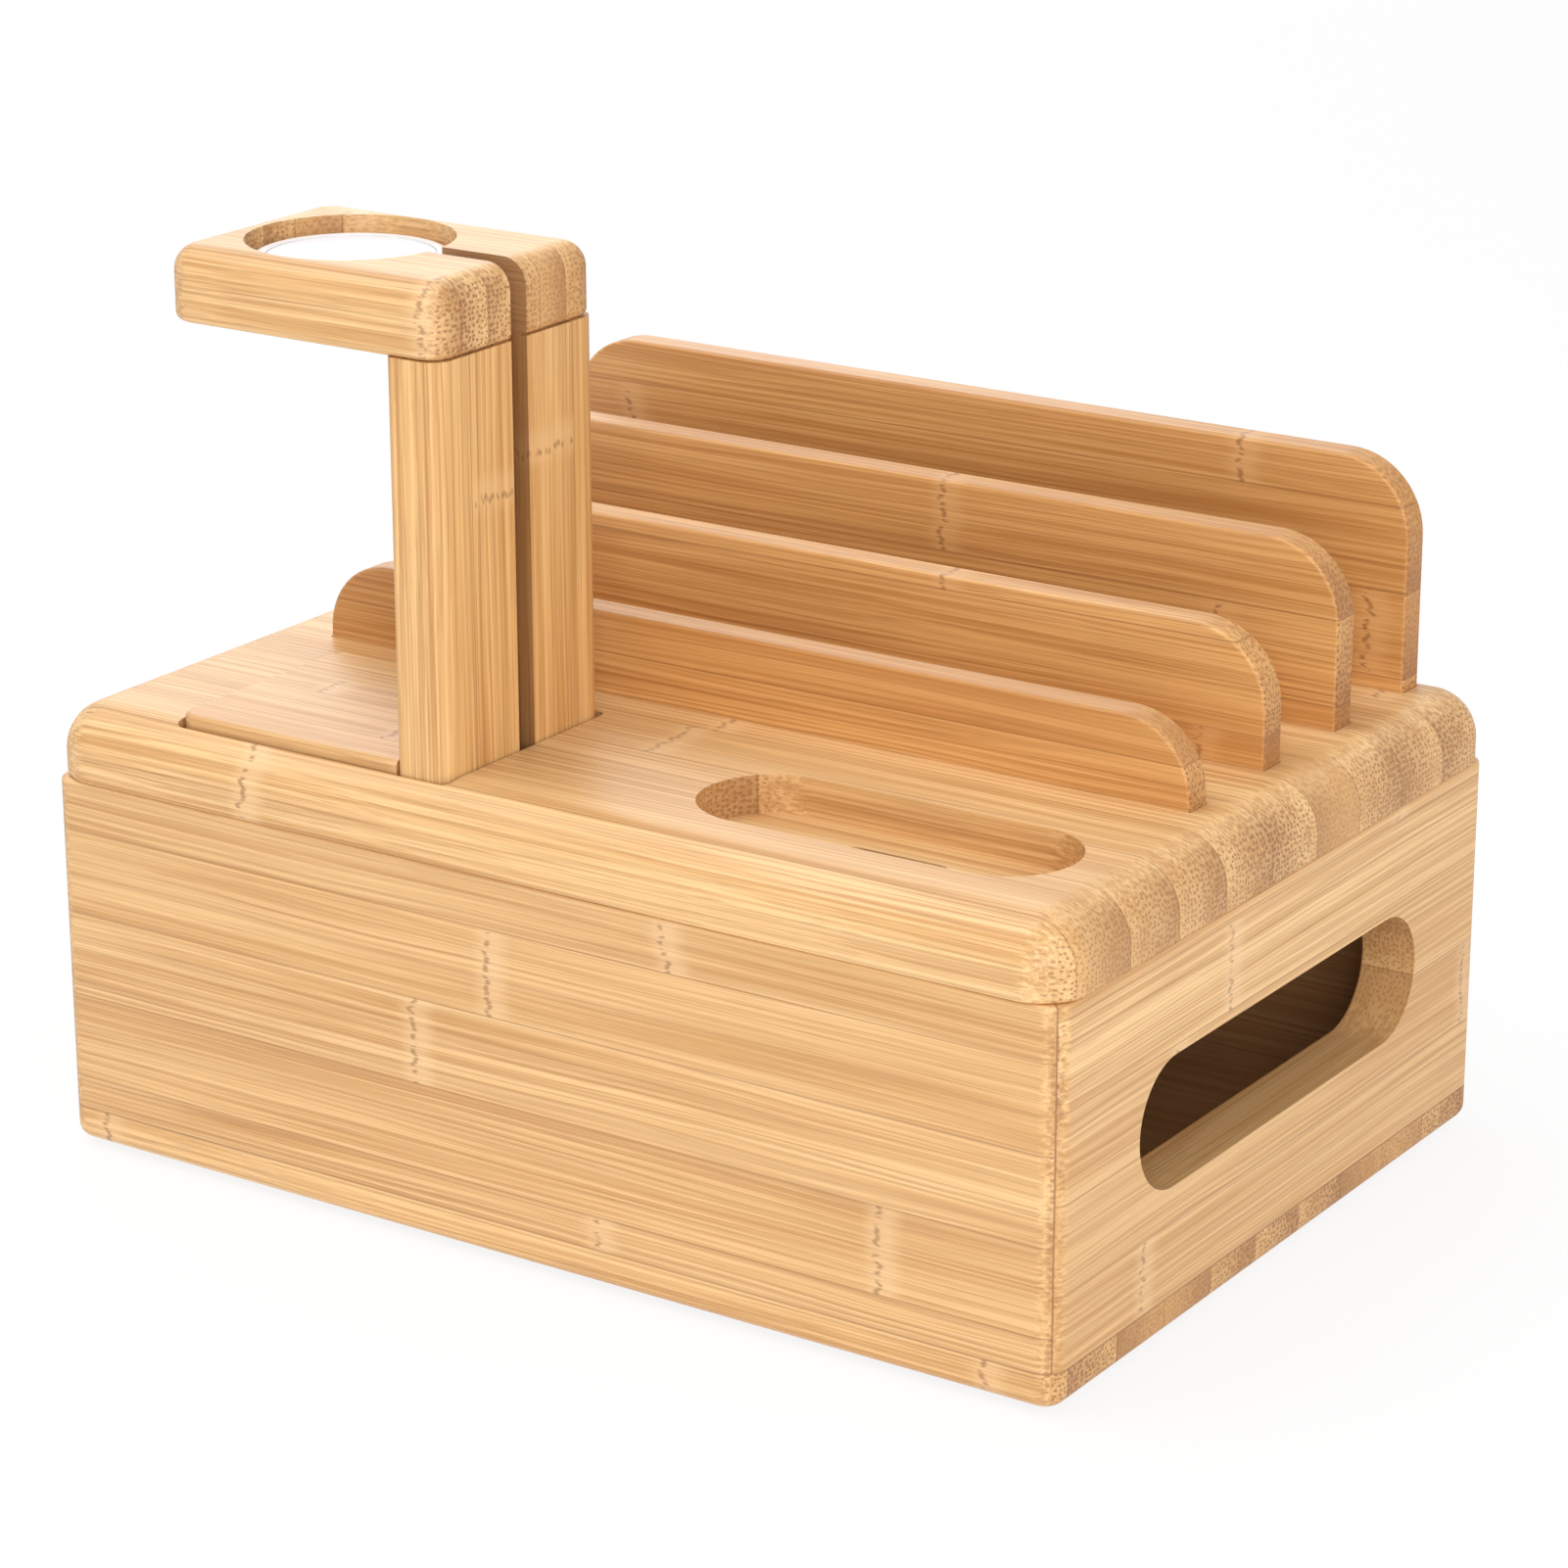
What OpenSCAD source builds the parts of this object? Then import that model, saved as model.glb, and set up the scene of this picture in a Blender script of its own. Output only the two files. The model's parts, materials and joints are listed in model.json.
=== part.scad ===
// Bamboo charging organizer for a desk: a cable box, a lift-off lid with four upright dividers
// and an earbud tray, and a lift-out watch stand that carries a round charging puck.
// +X is to the right, +Y to the back and +Z up. The origin is the centre of the footprint, on the desk.

/* [Box] */
// Length of the box, left to right
body_l = 181.2; // [165:0.1:240]
// Depth of the box, front to back
body_w = 131; // [126:0.1:180]
// Height of the four walls
wall_h = 54.7; // [45:0.1:90]
// Thickness of the four walls
wall_t = 9; // [6:0.5:12]
// Thickness of the base panel
base_t = 5.8; // [4:0.1:10]
// Plan radius of the box's upright corners
box_corner_r = 3.5; // [2:0.1:6]
// Rounding along the lower edge of the base panel
base_edge_r = 2.5; // [1:0.1:3.4]
// Easing along the top edge of the walls
wall_ease_r = 0.8; // [0.3:0.1:1.5]

/* [Side openings] */
// Length of the opening in each end wall
opening_l = 85.5; // [40:0.5:95]
// Height of the opening in each end wall
opening_h = 20.4; // [12:0.1:30]

/* [Pads] */
// Diameter of a non-slip pad
pad_d = 12; // [8:0.5:20]
// Thickness of a non-slip pad
pad_t = 1; // [0.5:0.1:3]
// Distance from a pad's centre to the two outer faces beside it
pad_inset = 13; // [11:0.5:25]

/* [Lid] */
// Thickness of the lid
lid_t = 11.7; // [10:0.1:16]
// How far the lid reaches beyond the box's outer faces
lid_overhang = 0.6; // [0:0.1:1.5]
// Plan radius of the lid's corners
lid_corner_r = 8; // [6:0.1:12]
// Roundover along the lid's upper edge
lid_edge_r = 7.6; // [3:0.1:7.9]
// Easing along the lid's lower edge
lid_under_r = 0.8; // [0.3:0.1:1.5]
// Width of a cleat under the lid
cleat_w = 6; // [4:0.5:12]
// Depth of a cleat under the lid
cleat_h = 5; // [3:0.5:10]
// Play between a cleat and the walls around it
cleat_gap = 0.8; // [0.4:0.1:2]

/* [Dividers] */
// Thickness of a divider
divider_t = 5.3; // [4:0.1:8]
// Room between the watch stand and the front divider
divider_stand_gap = 8.45; // [6:0.05:12]
// Height of the front divider above the lid
divider_front_h = 13.2; // [8:0.1:30]
// How much higher each divider is than the one before it
divider_step_h = 7.85; // [0:0.05:15]
// Radius of a divider's two upper corners
divider_r = 12.5; // [4:0.1:20]
// Least height of a divider's straight ends above the lid
divider_end_h = 1.5; // [1:0.1:4]
// Easing along a divider's edges
divider_ease_r = 0.6; // [0.2:0.1:1.5]
// From the box's left face to the dividers
divider_left_margin = 14.2; // [10:0.1:30]
// From the box's right face to the dividers
divider_right_margin = 9.3; // [9:0.1:30]
// From the box's back face to the back divider
divider_back_margin = 6.5; // [5:0.1:12]
// Depth of a divider's groove in the lid
groove_d = 4; // [2:0.1:6]
// Play beside a divider in its groove
groove_gap = 0.1; // [0.05:0.01:0.3]

/* [Front row] */
// From the box's front face to the centre line of the tray and the stand
row_margin = 23.75; // [21:0.05:27]
// Length of the earbud tray
tray_l = 61.9; // [48:0.1:72]
// Width of the earbud tray
tray_w = 22.5; // [18:0.1:30]
// Depth of the earbud tray
tray_d = 6; // [3:0.1:8]
// From the box's right face to the tray
tray_right_margin = 12; // [10:0.1:30]

/* [Cable slots] */
// Length of a cable slot through the lid
slot_l = 20; // [12:0.5:30]
// Width of a cable slot through the lid
slot_w = 7.2; // [5:0.1:9]

/* [Watch stand] */
// Width of the stand, front to back
stand_w = 39; // [36:0.1:42]
// From the box's left face to the stand's foot
stand_left_margin = 22.4; // [12:0.1:24]
// Length of the foot, up to the post
foot_l = 42.2; // [30:0.1:48]
// Thickness of the foot
foot_t = 7.4; // [6:0.1:9]
// Plan radius of the foot's left corners
foot_corner_r = 3; // [1.5:0.1:6]
// Easing along the foot's top edges
foot_ease_r = 0.9; // [0.3:0.1:1.5]
// Thickness of the post
post_t = 9.6; // [8:0.1:14]
// Radius of the post's outer upright edges
post_outer_r = 3.2; // [1.5:0.1:4]
// Radius of the post's inner upright edges
post_inner_r = 1.3; // [0.5:0.1:3]
// Height of the arm's underside above the lid
arm_clear = 62.6; // [40:0.1:90]
// Length of the arm
arm_l = 51.4; // [46:0.1:60]
// Thickness of the arm
arm_t = 11.4; // [10:0.1:16]
// Plan radius of the arm's free corners
arm_free_r = 5.2; // [4.3:0.1:8]
// Plan radius of the arm's corners over the post
arm_post_r = 4; // [4:0.1:6]
// Roundover along the arm's top edge
arm_edge_r = 4; // [1:0.1:4]
// Easing along the arm's lower edge
arm_under_r = 1.2; // [0.3:0.1:2]
// Depth of the pocket that the stand's foot sits in
pocket_d = 6; // [4:0.1:8]
// Play around the foot in its pocket
pocket_gap = 0.4; // [0.2:0.1:1]
// Plan radius of the pocket's corners
pocket_r = 1.6; // [0.5:0.1:3]
// Width of the cable slit in the arm and the post
slit_w = 3.7; // [3:0.1:6]
// Depth of the cable groove in the post's outer face
slit_d = 5.5; // [3:0.1:6.5]

/* [Dowels] */
// Diameter of a dowel
dowel_d = 4; // [3:0.1:5]
// Length of a dowel
dowel_l = 18; // [14:0.5:24]
// How far a dowel reaches into the piece across the joint
dowel_bite = 6; // [4:0.1:7]
// Distance between the two dowels of a joint
dowel_pitch = 22; // [16:0.5:26]
// Play around a dowel
dowel_gap = 0.1; // [0.05:0.01:0.2]
// Room left at a dowel's ends
dowel_end_gap = 0.5; // [0.2:0.1:1]

/* [Charging puck] */
// From the arm's free end to the puck's centre
puck_margin = 20.5; // [19:0.1:24]
// Diameter of the puck
puck_d = 30.4; // [26:0.1:31]
// Thickness of the puck
puck_t = 7; // [5:0.1:8]
// Rounding along the puck's edges
puck_edge_r = 1.4; // [0.5:0.1:2]
// Diameter of the face let into the puck
face_d = 25.4; // [20:0.1:26]
// Thickness of the face
face_t = 1.2; // [0.6:0.1:2]
// How far the face lies below the puck's rim
face_sink = 0.25; // [0:0.05:0.6]
// Play around the face
face_gap = 0.1; // [0.05:0.01:0.3]
// Play around the puck in the arm's hole
puck_gap = 0.6; // [0.3:0.1:1]
// Thickness of the ledge that the puck sits on
ledge_t = 2; // [1.5:0.1:3]
// How far that ledge reaches in under the puck
ledge_w = 4.8; // [2:0.1:8]

/* [Hidden] */
$fn = 96;
// Overshoot of a cut beyond the face it starts from
cut = 1;

base_z = pad_t;
wall_z = base_z + base_t;
lid_z = wall_z + wall_h;
top_z = lid_z + lid_t;

lid_l = body_l + 2 * lid_overhang;
lid_w = body_w + 2 * lid_overhang;
row_y = -body_w / 2 + row_margin;
tray_x = body_l / 2 - tray_right_margin - tray_l / 2;

divider_l = body_l - divider_left_margin - divider_right_margin;
divider_x = (divider_left_margin - divider_right_margin) / 2;
// The front divider stands clear of the watch stand and the back one at the box's back
dividers_front = row_y + stand_w / 2 + divider_stand_gap;
dividers_back = body_w / 2 - divider_back_margin;
divider_pitch = (dividers_back - dividers_front - divider_t) / 3;
function divider_y(i) = dividers_front + divider_t / 2 + (i - 1) * divider_pitch;
function divider_h(i) = divider_front_h + (i - 1) * divider_step_h;

foot_x = -body_l / 2 + stand_left_margin;
post_left = foot_x + foot_l;
post_right = post_left + post_t;
pocket_z = top_z - pocket_d;
arm_z = top_z + arm_clear;
arm_top = arm_z + arm_t;
arm_x = post_right - arm_l;
seat_r = puck_d / 2 + puck_gap;
hole_x = arm_x + puck_margin;
puck_z = arm_z + ledge_t;

bamboo = [0.88, 0.69, 0.45];
bamboo_dark = [0.80, 0.58, 0.34];
white_plastic = [0.95, 0.95, 0.94];
clear_rubber = [0.86, 0.86, 0.84];

// Flat shapes

module obround(l, w) {
    square([l - w, w], center = true);
    for (side = [-1, 1])
        translate([side * (l - w) / 2, 0])
            circle(d = w);
}

module quarter_disc(r) {
    intersection() {
        circle(r);
        square(r);
    }
}

// Upright rectangle standing on y = 0, with rounded upper and lower corners
module eased_profile(w, h, top_r, bottom_r) {
    translate([-w / 2, bottom_r])
        square([w, h - top_r - bottom_r]);
    if (w > 2 * top_r)
        translate([top_r - w / 2, bottom_r])
            square([w - 2 * top_r, h - bottom_r]);
    if (w > 2 * bottom_r)
        translate([bottom_r - w / 2, 0])
            square([w - 2 * bottom_r, h - top_r]);
    for (flip = [0, 1])
        mirror([flip, 0]) {
            if (top_r > 0)
                translate([w / 2 - top_r, h - top_r])
                    quarter_disc(top_r);
            if (bottom_r > 0)
                translate([w / 2 - bottom_r, bottom_r])
                    mirror([0, 1])
                        quarter_disc(bottom_r);
        }
}

// The right half of that profile, for the end of a board and for a turned corner
module half_profile(r, h, top_r, bottom_r) {
    intersection() {
        eased_profile(2 * r, h, top_r, bottom_r);
        square([r, h]);
    }
}

// Boards

// One end of a board: a straight edge between two turned corners of radius r
module board_end(w, h, r, top_r, bottom_r) {
    rotate([90, 0, 0])
        linear_extrude(w - 2 * r, center = true)
            half_profile(r, h, top_r, bottom_r);
    for (turn = [0, -90])
        translate([0, (turn == 0 ? 1 : -1) * (w / 2 - r), 0])
            rotate([0, 0, turn])
                rotate_extrude(angle = 90)
                    half_profile(r, h, top_r, bottom_r);
}

// Board lying on z = 0 from x0 to x1, centred on y = 0, with its own corner radius at each end
module board(x0, x1, w, h, left_r, right_r, top_r, bottom_r) {
    translate([x0 + left_r, 0, 0])
        rotate([90, 0, 90])
            linear_extrude(x1 - x0 - left_r - right_r)
                eased_profile(w, h, top_r, bottom_r);
    translate([x1 - right_r, 0, 0])
        board_end(w, h, right_r, top_r, bottom_r);
    translate([x0 + left_r, 0, 0])
        mirror([1, 0, 0])
            board_end(w, h, left_r, top_r, bottom_r);
}

// Upright plate on z = 0 with large upper corners of radius r and eased edges all round
module plate(l, h, t, r, ease_r) {
    rotate([90, 0, 90])
        linear_extrude(l - 2 * r, center = true)
            eased_profile(t, h, ease_r, 0);
    for (flip = [0, 1])
        mirror([flip, 0, 0])
            translate([l / 2 - r, 0, 0]) {
                linear_extrude(h - r)
                    rotate(-90)
                        eased_profile(t, r, ease_r, 0);
                translate([0, 0, h - r])
                    rotate([90, 0, 0])
                        rotate_extrude(angle = 90)
                            rotate(-90)
                                eased_profile(t, r, ease_r, 0);
            }
}

// Box

// Solid block of the walls' outer shape, which the mitred walls are cut from
module wall_block() {
    translate([0, 0, wall_z])
        board(-body_l / 2, body_l / 2, body_w, wall_h, box_corner_r, box_corner_r, wall_ease_r, 0);
}

// Mitred wall along X, on the front side or, with side = 1, on the back
module long_wall(side) {
    intersection() {
        wall_block();
        translate([0, 0, wall_z - cut])
            linear_extrude(wall_h + 2 * cut)
                polygon([
                    [-body_l / 2, side * body_w / 2],
                    [body_l / 2, side * body_w / 2],
                    [body_l / 2 - wall_t, side * (body_w / 2 - wall_t)],
                    [-body_l / 2 + wall_t, side * (body_w / 2 - wall_t)]
                ]);
    }
}

// Mitred wall along Y with its opening, on the left side or, with side = 1, on the right
module end_wall(side) {
    difference() {
        intersection() {
            wall_block();
            translate([0, 0, wall_z - cut])
                linear_extrude(wall_h + 2 * cut)
                    polygon([
                        [side * body_l / 2, -body_w / 2],
                        [side * body_l / 2, body_w / 2],
                        [side * (body_l / 2 - wall_t), body_w / 2 - wall_t],
                        [side * (body_l / 2 - wall_t), -body_w / 2 + wall_t]
                    ]);
        }
        translate([side * (body_l / 2 - wall_t / 2), 0, wall_z + wall_h / 2])
            rotate([90, 0, 90])
                linear_extrude(wall_t + 2 * cut, center = true)
                    obround(opening_l, opening_h);
    }
}

module front_wall() {
    color(bamboo) long_wall(-1);
}

module back_wall() {
    color(bamboo) long_wall(1);
}

module left_wall() {
    color(bamboo) end_wall(-1);
}

module right_wall() {
    color(bamboo) end_wall(1);
}

module base_panel() {
    edge_r = min(base_edge_r, box_corner_r, base_t / 2);
    color(bamboo_dark)
        translate([0, 0, base_z])
            board(-body_l / 2, body_l / 2, body_w, base_t, box_corner_r, box_corner_r, 0, edge_r);
}

// Non-slip pad stuck to the base: sx and sy pick the corner
module pad(sx, sy) {
    color(clear_rubber)
        translate([sx * (body_l / 2 - pad_inset), sy * (body_w / 2 - pad_inset), 0])
            cylinder(h = pad_t, d = pad_d);
}

// Lid

module groove(i) {
    translate([divider_x, divider_y(i), top_z - groove_d / 2 + cut / 2])
        cube([divider_l + 2 * groove_gap, divider_t + 2 * groove_gap, groove_d + cut], center = true);
}

// Cable slot through the whole lid
module cable_slot(x, y, turn) {
    translate([x, y, lid_z - cut])
        rotate(turn)
            linear_extrude(lid_t + 2 * cut)
                obround(slot_l, slot_w);
}

module tray_cut() {
    translate([tray_x, row_y, top_z - tray_d])
        linear_extrude(tray_d + cut)
            obround(tray_l, tray_w);
}

module pocket_cut() {
    x0 = foot_x - pocket_gap;
    x1 = post_right + pocket_gap;
    translate([0, row_y, pocket_z])
        board(x0, x1, stand_w + 2 * pocket_gap, pocket_d + cut, pocket_r, pocket_r, 0, 0);
}

module lid_panel() {
    edge_r = min(lid_edge_r, lid_corner_r);
    color(bamboo)
        difference() {
            translate([0, 0, lid_z])
                board(-lid_l / 2, lid_l / 2, lid_w, lid_t, lid_corner_r, lid_corner_r, edge_r, lid_under_r);
            for (i = [1 : 4])
                groove(i);
            for (i = [1 : 3])
                cable_slot(divider_x, (divider_y(i) + divider_y(i + 1)) / 2, 0);
            tray_cut();
            cable_slot(tray_x, row_y, 0);
            pocket_cut();
            cable_slot(post_right - slot_w / 2, row_y, 90);
        }
}

// Cleat under the lid that keeps it flat and drops just inside the walls
module lid_cleat(side) {
    color(bamboo_dark)
        translate([
            side * (body_l / 2 - wall_t - cleat_gap - cleat_w / 2),
            0,
            lid_z - cleat_h / 2
        ])
            cube([cleat_w, body_w - 2 * (wall_t + cleat_gap), cleat_h], center = true);
}

module divider(i) {
    h = divider_h(i);
    corner_r = min(divider_r, h - divider_end_h);
    color(bamboo_dark)
        translate([divider_x, divider_y(i), top_z - groove_d])
            plate(divider_l, h + groove_d, divider_t, corner_r, divider_ease_r);
}

// Watch stand

// Two dowel holes or dowels across the stand, pointing along z from the joint at z = 0
module dowel_pair(d, reach_up, reach_down) {
    for (side = [-1, 1])
        translate([0, side * dowel_pitch / 2, -reach_down])
            cylinder(h = reach_up + reach_down, d = d);
}

// Puts the pair at the joint between post and arm
module at_arm_joint() {
    translate([(post_left + post_right) / 2, row_y, arm_z])
        children();
}

// Puts the pair at the joint between foot and post, pointing into the post
module at_foot_joint() {
    translate([post_left, row_y, pocket_z + foot_t / 2])
        rotate([0, 90, 0])
            children();
}

module dowel_holes() {
    far = dowel_l - dowel_bite + dowel_end_gap;
    dowel_pair(dowel_d + 2 * dowel_gap, dowel_bite + dowel_end_gap, far);
}

module dowels() {
    dowel_pair(dowel_d, dowel_bite, dowel_l - dowel_bite);
}

module stand_foot() {
    x1 = post_left + foot_corner_r + cut;
    color(bamboo)
        translate([0, row_y, pocket_z])
            difference() {
                board(foot_x, x1, stand_w, foot_t, foot_corner_r, foot_corner_r, foot_ease_r, 0);
                translate([post_left, -stand_w / 2 - cut, -cut])
                    cube([foot_corner_r + 2 * cut, stand_w + 2 * cut, foot_t + 2 * cut]);
                translate([0, -row_y, -pocket_z])
                    at_foot_joint()
                        dowel_holes();
            }
}

// Plan of the post: larger radius on its outer, right-hand edges
module post_plan() {
    translate([post_left, post_inner_r - stand_w / 2])
        square([post_t - post_outer_r, stand_w - 2 * post_inner_r]);
    translate([post_left + post_inner_r, -stand_w / 2])
        square([post_t - post_inner_r - post_outer_r, stand_w]);
    translate([post_left + post_inner_r, post_outer_r - stand_w / 2])
        square([post_t - post_inner_r, stand_w - 2 * post_outer_r]);
    for (side = [-1, 1]) {
        translate([post_left + post_inner_r, side * (stand_w / 2 - post_inner_r)])
            circle(post_inner_r);
        translate([post_right - post_outer_r, side * (stand_w / 2 - post_outer_r)])
            circle(post_outer_r);
    }
}

module stand_post() {
    color(bamboo)
        difference() {
            translate([0, row_y, pocket_z])
                linear_extrude(arm_z - pocket_z)
                    post_plan();
            translate([post_right - slit_d, row_y - slit_w / 2, pocket_z - cut])
                cube([slit_d + cut, slit_w, arm_z - pocket_z + 2 * cut]);
            at_arm_joint()
                dowel_holes();
            at_foot_joint()
                dowel_holes();
        }
}

module stand_arm() {
    edge_r = min(arm_edge_r, arm_post_r, arm_free_r);
    color(bamboo)
        difference() {
            translate([0, row_y, arm_z])
                board(arm_x, post_right, stand_w, arm_t, arm_free_r, arm_post_r, edge_r, arm_under_r);
            translate([hole_x, row_y, puck_z])
                cylinder(h = arm_t, r = seat_r);
            translate([hole_x, row_y, arm_z - cut])
                cylinder(h = ledge_t + 2 * cut, r = puck_d / 2 - ledge_w);
            translate([hole_x, row_y - slit_w / 2, arm_z - cut])
                cube([post_right - hole_x + cut, slit_w, arm_t + 2 * cut]);
            at_arm_joint()
                dowel_holes();
        }
}

module arm_dowels() {
    color(bamboo_dark)
        at_arm_joint()
            dowels();
}

module foot_dowels() {
    color(bamboo_dark)
        at_foot_joint()
            dowels();
}

// Charging puck

module puck_shell() {
    color(white_plastic)
        translate([hole_x, row_y, puck_z])
            difference() {
                rotate_extrude()
                    half_profile(puck_d / 2, puck_t, puck_edge_r, puck_edge_r / 2);
                translate([0, 0, puck_t - face_sink - face_t])
                    cylinder(h = face_t + face_sink + cut, d = face_d + 2 * face_gap);
            }
}

module puck_face() {
    color(white_plastic)
        translate([hole_x, row_y, puck_z + puck_t - face_sink - face_t])
            cylinder(h = face_t, d = face_d);
}

front_wall();
back_wall();
left_wall();
right_wall();
base_panel();
pad(-1, -1);  // pad_front_left
pad(1, -1);  // pad_front_right
pad(-1, 1);  // pad_back_left
pad(1, 1);  // pad_back_right
lid_panel();
lid_cleat(-1);  // lid_cleat_left
lid_cleat(1);  // lid_cleat_right
divider(1);  // divider_1
divider(2);  // divider_2
divider(3);  // divider_3
divider(4);  // divider_4
stand_foot();
stand_post();
stand_arm();
arm_dowels();
foot_dowels();
puck_shell();
puck_face();
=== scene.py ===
import json
import math

import bmesh
import bpy
from bpy.props import FloatProperty, FloatVectorProperty, PointerProperty
from mathutils import Matrix, Vector


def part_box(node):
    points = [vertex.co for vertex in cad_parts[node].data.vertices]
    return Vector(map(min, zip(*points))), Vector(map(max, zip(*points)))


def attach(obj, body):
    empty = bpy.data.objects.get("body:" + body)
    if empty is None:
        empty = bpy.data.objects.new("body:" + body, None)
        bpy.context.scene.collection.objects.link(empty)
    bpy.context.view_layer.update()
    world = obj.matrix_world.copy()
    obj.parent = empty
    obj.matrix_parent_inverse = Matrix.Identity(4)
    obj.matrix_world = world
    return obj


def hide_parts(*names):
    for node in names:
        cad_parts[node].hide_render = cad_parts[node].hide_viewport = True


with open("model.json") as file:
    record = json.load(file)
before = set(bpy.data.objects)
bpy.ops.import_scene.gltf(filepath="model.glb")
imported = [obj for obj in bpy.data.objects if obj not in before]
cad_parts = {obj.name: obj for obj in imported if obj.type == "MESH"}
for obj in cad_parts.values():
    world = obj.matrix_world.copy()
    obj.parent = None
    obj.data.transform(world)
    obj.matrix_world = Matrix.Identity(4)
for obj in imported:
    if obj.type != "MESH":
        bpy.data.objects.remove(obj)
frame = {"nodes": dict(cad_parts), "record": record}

bl_info = {
    "name": "Bamboo Charging Organizer",
    "version": (1, 0, 0),
    "blender": (4, 5, 0),
    "location": "View3D > Sidebar > Organizer",
    "description": "Dresses a bamboo charging organizer: box, lid, dividers, watch stand and puck",
    "category": "Object",
}

# Nodes of one kind
WALLS = ("front_wall", "back_wall", "left_wall", "right_wall")
PADS = ("pad_front_left", "pad_front_right", "pad_back_left", "pad_back_right")
CLEATS = ("lid_cleat_left", "lid_cleat_right")
DIVIDERS = ("divider_1", "divider_2", "divider_3", "divider_4")
DOWELS = ("arm_dowels", "foot_dowels")

# Places that come from the frame, in metres
BASE_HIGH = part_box("base_panel")[1]
PUCK_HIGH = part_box("puck_shell")[1]
POST_LOW, POST_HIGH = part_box("stand_post")
INNER_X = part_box("right_wall")[0][0]
INNER_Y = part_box("back_wall")[0][1]
STAND_Y = (POST_LOW[1] + POST_HIGH[1]) / 2
# The post stands on the floor of the lid's pocket, which is as deep as its tray
FLOOR_Z = POST_LOW[2]
# Half the width of the stand's cable slit, in metres
SLIT_HALF = 0.00185
MM = 1000.0

# Vertices of a CAD node's loose triangles closer than this are one vertex, in metres
MERGE_DISTANCE = 1e-6
# Edges that turn by more than this stay sharp
SHARP_ANGLE = math.radians(33)

# Factors on the bamboo's colour; the dividers are deeper and more orange than the rest, partly as
# their own tone and partly as painted shade
PLAIN_TINT = (1.0, 1.0, 1.0)
BASE_TINT = (0.97, 0.95, 0.92)
CLEAT_TINT = (0.95, 0.93, 0.9)
DIVIDER_TONE_AND_SHADE = (0.84, 0.70, 0.52)
POST_TINT = (0.98, 0.93, 0.82)

# The bamboo's pattern, in millimetres, and in waves a millimetre along and across the grain.
# A STEP or an EDGE holds where something starts and where it is complete, or the width between.
# END_STEP is the share of a face's normal that points along the grain, from side to end grain
END_STEP = (0.35, 0.85)
# Each unit of a seed moves the strips by this share of a strip
SEED_SHIFT = 0.37
# Added to the seed for a strip's second and third random numbers
START_DRAW = 31.0
LEAN_DRAW = 57.0
GLUE_EDGE = (0.22, 0.05)
# How far apart in the noise the strips may lie
DRIFT_REACH = 40.0
WANDER_WAVES = (0.012, 0.15)
WANDER_REACH = 2.4
STREAK_WAVES = (0.012, 1.9)
FINE_WAVES = (0.05, 7.5)
BROAD_WAVES = (0.008, 0.22)
# Bundles lie closer together in a strip's depth than across it, and grow towards one side
BUNDLE_FLATNESS = 0.82
BUNDLE_SCATTER = 0.62
BUNDLE_RADIUS = 0.2
BUNDLE_GROWTH = 0.16
BUNDLE_EDGE = (0.07, -0.05)
LEAN_STEP = (0.45, 0.55)
# A culm's joint is a pale band with a thin, wavy, broken dark line beside its middle
JOINT_WAVES = 0.55
JOINT_SWING = 5.0
JOINT_BAND_EDGE = (4.2, 0.6)
JOINT_LINE_EDGE = (0.75, 0.1)
JOINT_LINE_SHIFT = 0.9
BREAK_WAVES = (0.3, 1.6)
BREAK_STEP = (0.42, 0.56)

# Shares of two of the streaks in the mix of the middle and the light colour
STREAK_SHARE = 0.65
BROAD_SHARE = 0.35
MIX_STEP = (0.36, 0.62)
FINE_STEP = (0.52, 0.74)
# How much each layer of colour covers; a pair is for side grain and what end grain adds
FINE_COVER = 0.5
BUNDLE_COVER = (0.26, 0.56)
SHADE_COVER = 0.5
SHADE_GRAIN = (0.75, 0.6)
CROWD_COVER = 0.45
BAND_COVER = 0.4
LINE_COVER = 0.6
GLUE_COVER = 0.4
MITRE_COVER = 0.65
# INSIDE, SLOT and SLIT cover painted shade inside the box, in the lid's cable slots and in the
# stand's slit
INSIDE_SHADE_COVER = 0.62
SEAM_COVER = 0.55
SLOT_SHADE_COVER = 0.9
SLIT_SHADE_COVER = 0.72

# The wood's roughness, what the fine fibres and the end grain add to it, and its thin coat
WOOD_ROUGHNESS = 0.4
FINE_ROUGHNESS = 0.16
END_ROUGHNESS = 0.14
COAT = 0.12
COAT_ROUGHNESS = 0.3
# What raises and sinks the wood's surface, as shares of the relief's depth in metres
STREAK_RELIEF = 0.4
FINE_RELIEF = 0.35
BUNDLE_RELIEF = 0.35
LINE_RELIEF = 0.9
GLUE_RELIEF = 0.5
RELIEF_STRENGTH = 0.3
RELIEF_DEPTH = 0.00018

# The seed of each piece of bamboo, so that no two are alike but the cleats
SEEDS = {
    "front_wall": 3.0, "back_wall": 8.0, "left_wall": 13.0, "right_wall": 18.0,
    "base_panel": 23.0, "lid_panel": 31.0, "cleats": 37.0,
    "divider_1": 41.0, "divider_2": 44.0, "divider_3": 47.0, "divider_4": 50.0,
    "stand_foot": 61.0, "stand_arm": 67.0, "stand_post": 71.0,
    "arm_dowels": 81.0, "foot_dowels": 83.0,
}

# Moulded pieces: waves a millimetre of their fine grain and of their slight clouds, how dark and
# how strong the clouds are, and what the grain does to the roughness and, in metres, to the height
PEBBLE_WAVES = 6.0
CLOUD_WAVES = 0.12
CLOUD_SHADE = 0.955
CLOUD_COVER = 0.6
PEBBLE_ROUGHNESS = 0.14
PEBBLE_DEPTH = 0.0001
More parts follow.
